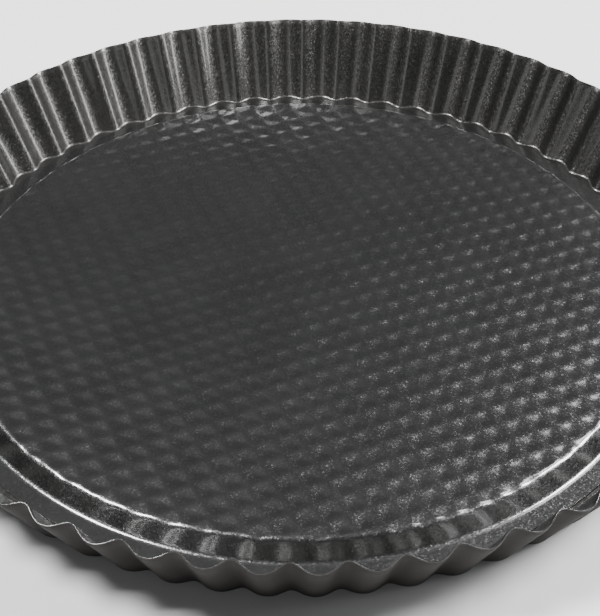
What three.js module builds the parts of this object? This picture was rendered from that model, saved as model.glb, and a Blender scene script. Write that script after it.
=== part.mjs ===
// A 280 mm tart pan of thin coated steel sheet: a fluted ring with a ledge turned in at
// its bottom, and a loose base plate that lies on the ledge and lifts straight out.
// Millimetres, +Z up, origin at the middle of the surface that the pan stands on.

import * as THREE from 'three';

const sheet = 0.6;               // thickness of both pressed sheets
const clearance = 0.3;           // gap between the seated plate and the ledge

// Fluted ring. A crest is where a flute stands inwards, a lobe is where it swells outwards.
const fluteCount = 60;
const stepsPerFlute = 6;
const rimCrestRadius = 136.5;    // inside of the wall at the rim, on a crest
const rimFluteDepth = 2.9;       // how much further out a lobe is at the rim
const rimFluteDip = 1.3;         // how much lower the sheet's edge is on a lobe
const baseCrestRadius = 122.6;   // inside of the wall where it meets the ledge, on a crest
const baseFluteDepth = 2.3;
const lobeFullness = 0.05;       // widens the lobes and narrows the crests
const wallHeight = 27.6;         // from the ledge's upper face to the rim, on a crest
const wallFillet = 1.2;          // inside radius between the ledge and the wall
const ledgeHoleRadius = 110;     // the round opening that the ledge leaves

// Loose base plate: a raised flat plateau, a steep step down, and a flat brim
// that lies on the ledge and reaches almost to the wall.
const plateauHeight = 5.9;       // above the ledge's upper face
const brimRadius = 121;          // the plate's outer edge
const brimWidth = 5.7;
const stepAngle = THREE.MathUtils.degToRad(51);
const shoulderFillet = 1.6;
const footFillet = 1.2;
const plateSteps = 96;

const ledgeTop = sheet;
const brimTop = ledgeTop + clearance + sheet;
const plateauTop = ledgeTop + plateauHeight;

// Points along an arc in the profile plane, from one angle to another.
function arc(centreR, centreZ, radius, fromAngle, toAngle, steps) {
  return Array.from({ length: steps + 1 }, (_, i) => {
    const angle = fromAngle + (toAngle - fromAngle) * i / steps;
    return { r: centreR + radius * Math.cos(angle), z: centreZ + radius * Math.sin(angle) };
  });
}

// How far a flute stands out at an angle round the pan: 0 on a crest, 1 on a lobe.
function fluteWave(angle) {
  const phase = fluteCount * angle;
  return (1 - Math.cos(phase)) / 2 + lobeFullness * (1 - Math.cos(2 * phase));
}

// Turns a closed profile about Z into a closed solid. A point's flare moves it outwards and
// its dip moves it down where a flute stands out.
function turnedSolid(profile, steps) {
  const closed = profile[0].r === 0 ? profile : [...profile, profile[0]];
  const outline = closed.map(({ r, z }) => new THREE.Vector2(r, z));
  const geometry = new THREE.LatheGeometry(outline, steps);
  const position = geometry.attributes.position;
  for (let i = 0; i < position.count; i += 1) {
    const { r, z, flare = 0, dip = 0 } = closed[i % closed.length];
    const angle = 2 * Math.PI * (Math.floor(i / closed.length) % steps) / steps;
    const wave = fluteWave(angle);
    const radius = r + flare * wave;
    position.setXYZ(i, radius * Math.sin(angle), z - dip * wave, radius * Math.cos(angle));
  }
  geometry.rotateX(Math.PI / 2);
  geometry.computeVertexNormals();
  return geometry;
}

// The wall's inner line on a crest: a fillet off the ledge, then straight out to the rim.
function wallLine(offset) {
  const run = rimCrestRadius - baseCrestRadius;
  const slope = Math.atan2(wallHeight, run);
  const radius = wallFillet + offset;
  const tangent = wallFillet * Math.tan(slope / 2);
  const centreR = baseCrestRadius - tangent;
  const centreZ = ledgeTop + wallFillet;
  const fillet = arc(centreR, centreZ, radius, -Math.PI / 2, slope - Math.PI / 2, 3);
  const rimR = rimCrestRadius + offset * Math.sin(slope);
  const rimZ = ledgeTop + wallHeight - offset * Math.cos(slope);
  return [
    ...fillet.map((point) => ({ ...point, flare: baseFluteDepth })),
    { r: rimR, z: rimZ, flare: rimFluteDepth, dip: rimFluteDip },
  ];
}

function flutedRing() {
  const inside = [{ r: ledgeHoleRadius, z: ledgeTop }, ...wallLine(0)];
  const outside = [{ r: ledgeHoleRadius, z: ledgeTop - sheet }, ...wallLine(sheet)];
  return turnedSolid([...outside, ...inside.reverse()], fluteCount * stepsPerFlute);
}

// The plate's upper line from its middle out to its edge, moved down by a depth. The fillets
// keep their centres, so the two faces of the sheet stay parallel.
function plateLine(depth) {
  const footR = brimRadius - brimWidth;
  const footCentreZ = brimTop + footFillet;
  const shoulderCentreZ = plateauTop - shoulderFillet;
  const centreGap = footFillet + shoulderFillet;
  const drop = footCentreZ - shoulderCentreZ;
  const straight = (centreGap * Math.cos(stepAngle) - drop) / Math.sin(stepAngle);
  const run = centreGap * Math.sin(stepAngle) + straight * Math.cos(stepAngle);
  const up = Math.PI / 2;
  const shoulder = arc(footR - run, shoulderCentreZ, shoulderFillet - depth, up, up - stepAngle, 4);
  const foot = arc(footR, footCentreZ, footFillet + depth, -up - stepAngle, -up, 4);
  return [{ r: 0, z: plateauTop - depth }, ...shoulder, ...foot, { r: brimRadius, z: brimTop - depth }];
}

function looseBase() {
  return turnedSolid([...plateLine(sheet), ...plateLine(0).reverse()], plateSteps);
}

function namedMesh(name, geometry, material) {
  const mesh = new THREE.Mesh(geometry, material);
  mesh.name = name;
  return mesh;
}

const wallCoating = new THREE.MeshStandardMaterial({ color: 0x3a3936, roughness: 0.42, metalness: 0.5 });
const plateCoating = new THREE.MeshStandardMaterial({ color: 0x3c3f3f, roughness: 0.48, metalness: 0.5 });

const pan = new THREE.Group();
pan.add(namedMesh('fluted_ring', flutedRing(), wallCoating));
pan.add(namedMesh('loose_base', looseBase(), plateCoating));

export default pan;
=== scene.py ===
"""Looks of a fluted tart pan: coated sheet-steel ring and its loose embossed base plate."""

import math

import bpy
import numpy as np
from mathutils import Matrix, Vector
from mathutils.geometry import delaunay_2d_cdt


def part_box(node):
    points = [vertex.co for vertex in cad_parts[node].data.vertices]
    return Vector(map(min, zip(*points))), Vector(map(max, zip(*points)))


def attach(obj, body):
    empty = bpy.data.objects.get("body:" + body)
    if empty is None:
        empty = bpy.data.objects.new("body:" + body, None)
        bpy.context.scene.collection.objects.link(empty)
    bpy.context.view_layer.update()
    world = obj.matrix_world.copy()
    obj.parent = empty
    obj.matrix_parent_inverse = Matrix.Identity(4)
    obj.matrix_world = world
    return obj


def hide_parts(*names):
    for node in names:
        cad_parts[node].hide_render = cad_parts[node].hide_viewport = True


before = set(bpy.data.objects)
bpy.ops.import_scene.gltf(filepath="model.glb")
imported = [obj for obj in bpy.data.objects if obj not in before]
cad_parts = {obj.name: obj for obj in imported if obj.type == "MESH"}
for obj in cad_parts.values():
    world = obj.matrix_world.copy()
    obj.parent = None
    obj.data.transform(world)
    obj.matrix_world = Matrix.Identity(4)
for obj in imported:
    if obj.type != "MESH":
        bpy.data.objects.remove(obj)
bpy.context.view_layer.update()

MM = 0.001

# The pan's sheet and its two pressed pieces, in metres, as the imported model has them.
SHEET = 0.6 * MM
FLUTES = 60
WALL_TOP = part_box("fluted_ring")[1].z
PLATE_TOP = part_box("loose_base")[1].z
PLATE_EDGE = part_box("loose_base")[1].x
LEDGE_TOP = SHEET

# Flutes: a crest stands inwards, a lobe swells outwards and dips at the rim.
RIM_CREST_RADIUS = 136.5 * MM
RIM_FLUTE_DEPTH = 2.9 * MM
RIM_FLUTE_DIP = 1.3 * MM
BASE_CREST_RADIUS = 122.6 * MM
BASE_FLUTE_DEPTH = 2.3 * MM
LOBE_FULLNESS = 0.05
WALL_FILLET = 1.2 * MM
LEDGE_HOLE_RADIUS = 110 * MM

# The sheet's rounded edges, in parts of its thickness: what is left of it at the rim,
# how wide an edge's flat is and how far the flat stands out.
RIM_THICKNESS = 0.55
EDGE_FLAT = 0.6
EDGE_BULGE = 0.25

# Base plate: a plateau, a rounded step down and a brim that lies on the ledge.
BRIM_WIDTH = 5.7 * MM
SEAT_GAP = 0.03 * MM
BRIM_TOP = LEDGE_TOP + SEAT_GAP + SHEET
STEP_ANGLE = math.radians(51)
SHOULDER_FILLET = 1.6 * MM
FOOT_FILLET = 1.2 * MM

# Embossing: shallow square dimples on a square grid, faded out over the shoulder.
# The width is in parts of the pitch. A higher squareness gives sharper corners.
DIMPLE_PITCH = 6.994 * MM
DIMPLE_DEPTH = 0.38 * MM
DIMPLE_WIDTH = 0.84
DIMPLE_SQUARENESS = 5
DIMPLE_ROUNDING = 0.04
DIMPLES_END = 112 * MM
DIMPLE_FADE = 2 * MM
GRID_ANGLE = math.radians(24.744)
GRID_PHASE = (0.365, 0.385)

# Mesh density. The grid of the plate's middle has its own steps, and the rings round it
# start a part of such a step further out.
STEPS_PER_FLUTE = 16
LEDGE_STEPS = 8
WALL_FILLET_STEPS = 7
WALL_STEPS = 14
PLATE_FILLET_STEPS = 8
STEPS_PER_DIMPLE = 10
GRID_RADIUS = 105.2 * MM
GRID_TO_RINGS = 0.8
PLATE_RINGS = 26
PLATE_SECTORS = 960
EDGE_RING = 0.02 * MM
NEARLY_ZERO = 1e-9

# Coating. Flakes, the faint orange peel over them and the mottling are in cells per metre.
# The dull flakes are the share of them that are no brighter than the ground.
WALL_COLOUR = (0.0345, 0.0338, 0.0323, 1)
PLATE_COLOUR = (0.0348, 0.0354, 0.0348, 1)
# The outside's dark matt colour is partly a plainer outside coat and partly painted shade.
OUTSIDE_COLOUR_AND_SHADE = (0.0300, 0.0285, 0.0270, 1)
RIM_DARK = (0.008, 0.008, 0.008, 1)
RIM_LIGHT = (0.016, 0.016, 0.015, 1)
FLAKES = 2600
FLAKE_METAL = 0.97
FLAKE_ROUGHNESS_SPREAD = 0.05
DULL_FLAKES = 0.85
BRIGHT_FLAKE = 1.4
PEEL = 900
PEEL_HEIGHT = 0.03 * MM
PEEL_STRENGTH = 0.1
MOTTLE = 60
MOTTLE_RANGE = (0.35, 0.65)
MOTTLE_DARK = 0.8
RIM_MOTTLE = 700
RIM_MOTTLE_RANGE = (0.4, 0.6)
COAT_ROUGHNESS = 0.14

# The camera looks down at the middle of the pan. Lengths are in rim crest radii.
CAMERA_AZIMUTH = math.radians(2.28)
CAMERA_ELEVATION = math.radians(40.0)
CAMERA_ROLL = math.radians(-1.04)
CAMERA_DISTANCE = 3.379 * RIM_CREST_RADIUS
CAMERA_AIM = Vector((-0.0598, -0.0490, 0)) * RIM_CREST_RADIUS
SENSOR = 36
LENS = 82.1
SHIFT_X = 0.042
NEAREST_SEEN = 0.01
FARTHEST_SEEN = 20

# Room: an even, nearly white light from all round, and a matt grey floor.
WORLD_COLOUR = (0.97, 0.98, 1.0, 1)
WORLD_STRENGTH = 0.245
FLOOR_SIZE = 8
FLOOR_COLOUR = (0.36, 0.36, 0.36, 1)
FLOOR_ROUGHNESS = 0.9


# ---------------------------------------------------------------- camera, lights, floor

def make_camera():
    data = bpy.data.cameras.new("camera")
    data.sensor_width = SENSOR
    data.lens = LENS
    data.shift_x = SHIFT_X
    data.clip_start = NEAREST_SEEN
    data.clip_end = FARTHEST_SEEN
    camera = bpy.data.objects.new("camera", data)
    bpy.context.scene.collection.objects.link(camera)
    turn = Matrix.Rotation(CAMERA_AZIMUTH, 3, "Z")
    back = turn @ Vector((0, -math.cos(CAMERA_ELEVATION), math.sin(CAMERA_ELEVATION)))
    level_right = turn @ Vector((1, 0, 0))
    level_up = back.cross(level_right)
    right = level_right * math.cos(CAMERA_ROLL) + level_up * math.sin(CAMERA_ROLL)
    up = back.cross(right)
    aim = turn @ CAMERA_AIM + Vector((0, 0, LEDGE_TOP))
    matrix = Matrix((right, up, back)).transposed().to_4x4()
    matrix.translation = aim + back * CAMERA_DISTANCE
    camera.matrix_world = matrix
    bpy.context.scene.camera = camera


def softbox(name, place, size, watts):
    """A rectangular area light that faces the pan."""
    data = bpy.data.lights.new(name, "AREA")
    data.shape = "RECTANGLE"
    data.size = size[0]
    data.size_y = size[1]
    data.energy = watts
    light = bpy.data.objects.new(name, data)
    light.location = place
    light.rotation_euler = (-Vector(place)).to_track_quat("-Z", "Y").to_euler()
    bpy.context.scene.collection.objects.link(light)


def make_lights():
    """Two strong lights, high on the left and the right, and three faint ones that fill in."""
    softbox("key_right", (0.63, 0.66, 1.20), (0.36, 0.36), 11)
    softbox("key_far_right", (1.10, 0.17, 1.02), (0.50, 0.50), 108)
    softbox("key_left", (-0.74, 0.0, 1.28), (0.42, 0.42), 94)
    softbox("front_left", (-0.55, -1.35, 0.62), (0.80, 0.35), 3)
    softbox("side_right", (1.50, 0.10, 0.36), (0.35, 0.35), 11)


def make_world():
    world = bpy.data.worlds.new("room")
    world.use_nodes = True
    background = world.node_tree.nodes["Background"]
    background.inputs["Color"].default_value = WORLD_COLOUR
    background.inputs["Strength"].default_value = WORLD_STRENGTH
    bpy.context.scene.world = world


def make_floor():
    bpy.ops.mesh.primitive_plane_add(size=FLOOR_SIZE, location=(0, 0, 0))
    floor = bpy.context.object
    floor.name = "floor"
    material = bpy.data.materials.new("floor_white")
    material.use_nodes = True
    shader = material.node_tree.nodes["Principled BSDF"]
    shader.inputs["Base Color"].default_value = FLOOR_COLOUR
    shader.inputs["Roughness"].default_value = FLOOR_ROUGHNESS
    floor.data.materials.append(material)


# ---------------------------------------------------------------- materials

class Nodes:
    """Short calls for building one material's node tree."""

    def __init__(self, name):
        self.material = bpy.data.materials.new(name)
        self.material.use_nodes = True
        self.tree = self.material.node_tree
        self.shader = self.tree.nodes["Principled BSDF"]
        self.place = self.add("ShaderNodeTexCoord").outputs["Object"]

    def add(self, kind, **settings):
        node = self.tree.nodes.new(kind)
        for name, value in settings.items():
            setattr(node, name, value)
        return node

    def link(self, output, target):
        self.tree.links.new(output, target)

    def noise(self, scale, detail):
        node = self.add("ShaderNodeTexNoise")
        node.inputs["Scale"].default_value = scale
        node.inputs["Detail"].default_value = detail
        self.link(self.place, node.inputs["Vector"])
        return node.outputs["Fac"]

    def remap(self, value, low, high, to_low, to_high):
        node = self.add("ShaderNodeMapRange")
        node.inputs["From Min"].default_value = low
        node.inputs["From Max"].default_value = high
        node.inputs["To Min"].default_value = to_low
        node.inputs["To Max"].default_value = to_high
        self.link(value, node.inputs["Value"])
        return node.outputs["Result"]

    def mix(self, factor, a, b):
        node = self.add("ShaderNodeMix", data_type="RGBA")
        self.link(factor, node.inputs["Factor"])
        for value, socket in ((a, node.inputs["A"]), (b, node.inputs["B"])):
            if isinstance(value, tuple):
                socket.default_value = value
            else:
                self.link(value, socket)
        return node.outputs["Result"]

    def mottled(self, scale, value_range, dark, light):
        """Soft patches from a dark colour to a light one."""
        return self.mix(self.remap(self.noise(scale, 3), *value_range, 0, 1), dark, light)


def times(colour, factor):
    return tuple(factor * part for part in colour[:3]) + (1,)


def flake_normal(nodes, cells, tilt):
    """The orange-peel surface's normal, tilted a little another way in each flake."""
    peel = nodes.add("ShaderNodeBump")
    peel.inputs["Strength"].default_value = PEEL_STRENGTH
    peel.inputs["Distance"].default_value = PEEL_HEIGHT
    nodes.link(nodes.noise(PEEL, 2), peel.inputs["Height"])
    centred = nodes.add("ShaderNodeVectorMath", operation="SUBTRACT")
    centred.inputs[1].default_value = (0.5, 0.5, 0.5)
    nodes.link(cells, centred.inputs[0])
    scaled = nodes.add("ShaderNodeVectorMath", operation="SCALE")
    scaled.inputs["Scale"].default_value = tilt
    nodes.link(centred.outputs["Vector"], scaled.inputs[0])
    tilted = nodes.add("ShaderNodeVectorMath", operation="ADD")
    nodes.link(peel.outputs["Normal"], tilted.inputs[0])
    nodes.link(scaled.outputs["Vector"], tilted.inputs[1])
    unit = nodes.add("ShaderNodeVectorMath", operation="NORMALIZE")
    nodes.link(tilted.outputs["Vector"], unit.inputs[0])
    return unit.outputs["Vector"]


def coating(name, colour, roughness, gloss, flake_tilt):
    """Charcoal non-stick coating: fine metallic flakes under a faint orange-peel surface."""
    nodes = Nodes(name)
    flakes = nodes.add("ShaderNodeTexVoronoi", feature="F1")
    flakes.inputs["Scale"].default_value = FLAKES
    nodes.link(nodes.place, flakes.inputs["Vector"])
    cells = flakes.outputs["Color"]
    split = nodes.add("ShaderNodeSeparateColor")
    nodes.link(cells, split.inputs["Color"])
    ground = nodes.mottled(MOTTLE, MOTTLE_RANGE, times(colour, MOTTLE_DARK), colour)
    bright = nodes.remap(split.outputs["Red"], DULL_FLAKES, 1, 0, 1)
    rough = nodes.remap(split.outputs["Green"], 0, 1,
                        roughness - FLAKE_ROUGHNESS_SPREAD, roughness + FLAKE_ROUGHNESS_SPREAD)
    shader = nodes.shader.inputs
    nodes.link(nodes.mix(bright, ground, times(colour, BRIGHT_FLAKE)), shader["Base Color"])
    nodes.link(rough, shader["Roughness"])
    nodes.link(flake_normal(nodes, cells, flake_tilt), shader["Normal"])
    shader["Metallic"].default_value = FLAKE_METAL
    shader["Coat Weight"].default_value = gloss
    shader["Coat Roughness"].default_value = COAT_ROUGHNESS
    return nodes.material


def matt_coating(name, colour):
    """Plain matt black coating without flakes, on the wall's outside and the plate's edge: partly a
    plainer outside coat, partly painted shade, dark and nearly unreflecting.
    """
    nodes = Nodes(name)
    patches = nodes.mottled(MOTTLE, MOTTLE_RANGE, times(colour, MOTTLE_DARK), colour)
    nodes.link(patches, nodes.shader.inputs["Base Color"])
    nodes.shader.inputs["Roughness"].default_value = 0.6
    nodes.shader.inputs["Specular IOR Level"].default_value = 0.05
    return nodes.material


def rim_bead(name):
    """The rim's edge, where the coating pools into a smooth, glossy, nearly black bead."""
    nodes = Nodes(name)
    patches = nodes.mottled(RIM_MOTTLE, RIM_MOTTLE_RANGE, RIM_DARK, RIM_LIGHT)
    nodes.link(patches, nodes.shader.inputs["Base Color"])
    nodes.shader.inputs["Roughness"].default_value = 0.16
    return nodes.material


# ---------------------------------------------------------------- shapes

def new_piece(name, points, faces, materials, face_slots, smooth=None):
    """A mesh piece. Its first faces, as many as smooth says, are shaded smooth, or all of them."""
    mesh = bpy.data.meshes.new(name)
    mesh.from_pydata([tuple(p) for p in points], [], faces)
    for material in materials:
        mesh.materials.append(material)
    mesh.polygons.foreach_set("material_index", face_slots)
    smooth = len(faces) if smooth is None else smooth
    mesh.polygons.foreach_set("use_smooth", [i < smooth for i in range(len(faces))])
    mesh.update()
    piece = bpy.data.objects.new(name, mesh)
    bpy.context.scene.collection.objects.link(piece)
    return piece


def arc(centre, radius, start, end, steps):
    angle = np.linspace(start, end, steps + 1)
    return np.stack([centre[0] + radius * np.cos(angle), centre[1] + radius * np.sin(angle)], 1)


def flute_wave(angle):
    """How far a flute stands out at an angle round the pan: 0 on a crest, 1 on a lobe."""
    phase = FLUTES * angle
    return (1 - np.cos(phase)) / 2 + LOBE_FULLNESS * (1 - np.cos(2 * phase))


def ring_line():
    """The ring's inner line on a crest, from the ledge's hole up to the rim: r, z, flare, dip."""
    run = RIM_CREST_RADIUS - BASE_CREST_RADIUS
    rise = WALL_TOP - LEDGE_TOP
    slope = math.atan2(rise, run)
    tangent = WALL_FILLET * math.tan(slope / 2)
    centre = (BASE_CREST_RADIUS - tangent, LEDGE_TOP + WALL_FILLET)
    bend = arc(centre, WALL_FILLET, -math.pi / 2, slope - math.pi / 2, WALL_FILLET_STEPS)
    ledge = np.zeros((LEDGE_STEPS, 4))
    ledge[:, 0] = np.linspace(LEDGE_HOLE_RADIUS, bend[0, 0], LEDGE_STEPS + 1)[:-1]
    ledge[:, 1] = LEDGE_TOP
    fillet = np.zeros((len(bend), 4))
    fillet[:, :2] = bend
    fillet[:, 2] = BASE_FLUTE_DEPTH
    foot = fillet[-1:]
    rim = np.array([[RIM_CREST_RADIUS, WALL_TOP, RIM_FLUTE_DEPTH, RIM_FLUTE_DIP]])
    up = np.linspace(0, 1, WALL_STEPS + 1)[1:, None]
    return np.concatenate([ledge, fillet, foot + (rim - foot) * up])


def carried_round(line):
    """A line carried round the pan, each of its points moved out and down by the flutes."""
    steps = FLUTES * STEPS_PER_FLUTE
    angle = 2 * math.pi * np.arange(steps) / steps
    wave = flute_wave(angle)[None, :]
    radius = line[:, 0:1] + line[:, 2:3] * wave
    height = line[:, 1:2] - line[:, 3:4] * wave
    return np.stack([radius * np.sin(angle), radius * np.cos(angle), height], 2)


def ring_loops():
    """Loops of points round the whole sheet: the inner face from the ledge's hole to the rim,
    the rim's edge, the outer face back down, and the hole's edge. Also how many are inner."""
    inner = carried_round(ring_line())
    around = np.roll(inner, -1, 1) - np.roll(inner, 1, 1)
    along = np.gradient(inner, axis=0)
    normal = np.cross(around, along)
    normal /= np.linalg.norm(normal, axis=2, keepdims=True)
    normal *= np.sign(normal[0, :1, 2:3])    # up from the ledge, and so into the pan all over
    thickness = np.ones((len(inner), 1, 1))
    thickness[-1] = RIM_THICKNESS
    outer = inner - SHEET * thickness * normal
    along /= np.linalg.norm(along, axis=2, keepdims=True)

    def edge_flat(row, sign):
        middle = (inner[row] + outer[row]) / 2
        half = (inner[row] - outer[row]) / 2
        bulge = sign * along[row] * SHEET * EDGE_BULGE
        return [middle + half * side + bulge for side in (EDGE_FLAT, -EDGE_FLAT)]

    rim, hole = edge_flat(-1, 1), edge_flat(0, -1)
    return [*inner, *rim, *outer[::-1], *hole[::-1]], len(inner)


def make_ring(inside, edge, outside):
    loops, inner_count = ring_loops()
    steps = len(loops[0])
    first_edge_row = inner_count - 1
    first_outside_row = inner_count + 2    # after the two loops of the rim's flat
    faces, slots = [], []
    for row in range(len(loops)):
        below, above = row * steps, (row + 1) % len(loops) * steps
        slot = 0 if row < first_edge_row else 1 if row < first_outside_row else 2
        for i in range(steps):
            j = (i + 1) % steps
            faces.append((below + i, above + i, above + j, below + j))
            slots.append(slot)
    points = np.concatenate(loops)
    ring = new_piece("ring_fluted_sheet", points, faces, [inside, edge, outside], slots)
    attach(ring, "ring")
    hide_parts("fluted_ring")


def plate_line(depth):
    """The plate's upper line from its middle to its edge, moved into the sheet by a depth."""
    foot_r = PLATE_EDGE - BRIM_WIDTH
    foot_z = BRIM_TOP + FOOT_FILLET
    shoulder_z = PLATE_TOP - SHOULDER_FILLET
    gap = FOOT_FILLET + SHOULDER_FILLET
    drop = foot_z - shoulder_z
    straight = (gap * math.cos(STEP_ANGLE) - drop) / math.sin(STEP_ANGLE)
    run = gap * math.sin(STEP_ANGLE) + straight * math.cos(STEP_ANGLE)
    up = math.pi / 2
    shoulder = arc((foot_r - run, shoulder_z), SHOULDER_FILLET - depth,
                   up, up - STEP_ANGLE, PLATE_FILLET_STEPS)
    foot = arc((foot_r, foot_z), FOOT_FILLET + depth, -up - STEP_ANGLE, -up, PLATE_FILLET_STEPS)
    return np.concatenate([[(0, PLATE_TOP - depth)], shoulder, foot, [(PLATE_EDGE, BRIM_TOP - depth)]])


def reach_along(line):
    """The length along a line up to each of its points."""
    return np.concatenate([[0], np.cumsum(np.linalg.norm(np.diff(line, axis=0), axis=1))])


def dimple_depth(x, y, radius):
    """Square, round-bottomed pyramid dimples that fade out just over the shoulder."""
    u = (math.cos(GRID_ANGLE) * x + math.sin(GRID_ANGLE) * y) / DIMPLE_PITCH - GRID_PHASE[0]
    v = (-math.sin(GRID_ANGLE) * x + math.cos(GRID_ANGLE) * y) / DIMPLE_PITCH - GRID_PHASE[1]
    u, v = 2 * np.abs(u - np.round(u)), 2 * np.abs(v - np.round(v))
    n = DIMPLE_SQUARENESS
    across = (u ** n + v ** n) ** (1 / n) / DIMPLE_WIDTH
    slope_line = 1 - np.sqrt(across ** 2 + DIMPLE_ROUNDING) + DIMPLE_ROUNDING / 2
    fade = np.clip((DIMPLES_END - radius) / DIMPLE_FADE, 0, 1)
    return DIMPLE_DEPTH * np.maximum(slope_line, 0) * fade


def plate_points(flat, depth):
    """Lifts points of the unrolled plate onto one face of the pressed sheet."""
    upper, face = plate_line(0), plate_line(depth)
    reach = reach_along(upper)
    s = np.linalg.norm(flat, axis=1)
    radius = np.interp(s, reach, face[:, 0])
    height = np.interp(s, reach, face[:, 1])
    unit = flat / np.maximum(s, NEARLY_ZERO)[:, None]
    x, y = (unit * radius[:, None]).T
    over = np.interp(s, reach, upper[:, 0])
    dimple = dimple_depth(unit[:, 0] * over, unit[:, 1] * over, over)
    return np.stack([x, y, height - dimple], 1)


def unrolled_plate():
    """Points and triangles of the flat disc: rings from its edge inwards, then a grid in line
    with the dimples. One more ring close to the edge keeps the brim's shading flat."""
    full = reach_along(plate_line(0))[-1]
    step = DIMPLE_PITCH / STEPS_PER_DIMPLE
    n = int(GRID_RADIUS / step) + 2
    i, j = np.meshgrid(np.arange(-n, n + 1), np.arange(-n, n + 1))
    u, v = i.ravel() * step, j.ravel() * step
    grid = np.stack([math.cos(GRID_ANGLE) * u - math.sin(GRID_ANGLE) * v,
                     math.sin(GRID_ANGLE) * u + math.cos(GRID_ANGLE) * v], 1)
    grid = grid[np.linalg.norm(grid, axis=1) < GRID_RADIUS]
    angle = 2 * math.pi * np.arange(PLATE_SECTORS) / PLATE_SECTORS
    spread = np.linspace(GRID_RADIUS + step * GRID_TO_RINGS, full, PLATE_RINGS)
    rings = [np.stack([s * np.cos(angle), s * np.sin(angle)], 1)
             for s in (*spread[:-1], full - EDGE_RING, full)]
    flat = [Vector(p) for p in np.concatenate([*rings[::-1], grid])]
    points, _, triangles, _, _, _ = delaunay_2d_cdt(flat, [], [], 0, NEARLY_ZERO)
    return np.array([tuple(p) for p in points]), [tuple(t) for t in triangles]


def make_plate(coat, edge):
    flat, triangles = unrolled_plate()
    count = len(flat)
    points = np.concatenate([plate_points(flat, 0), plate_points(flat, SHEET)])
    faces = triangles + [tuple(count + k for k in reversed(t)) for t in triangles]
    smooth = len(faces)
    for a in range(PLATE_SECTORS):
        b = (a + 1) % PLATE_SECTORS
        faces.append((a, count + a, count + b, b))
    slots = [0] * smooth + [1] * PLATE_SECTORS
    plate = new_piece("plate_embossed_sheet", points, faces, [coat, edge], slots, smooth)
    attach(plate, "base")
    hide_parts("loose_base")


make_camera()
make_lights()
make_world()
make_floor()
wall_inside = coating("wall_inside", WALL_COLOUR, roughness=0.42, gloss=0.30, flake_tilt=0.24)
# The wall's outside and the plate's edge get a dark, nearly unreflecting matt coat that is partly
# painted shade.
matt_coat_and_painted_shade = matt_coating("matt_coat_and_painted_shade", OUTSIDE_COLOUR_AND_SHADE)
plate_coat = coating("plate_coat", PLATE_COLOUR, roughness=0.34, gloss=0.90, flake_tilt=0.20)
make_ring(wall_inside, rim_bead("rim_edge"), matt_coat_and_painted_shade)
make_plate(plate_coat, matt_coat_and_painted_shade)
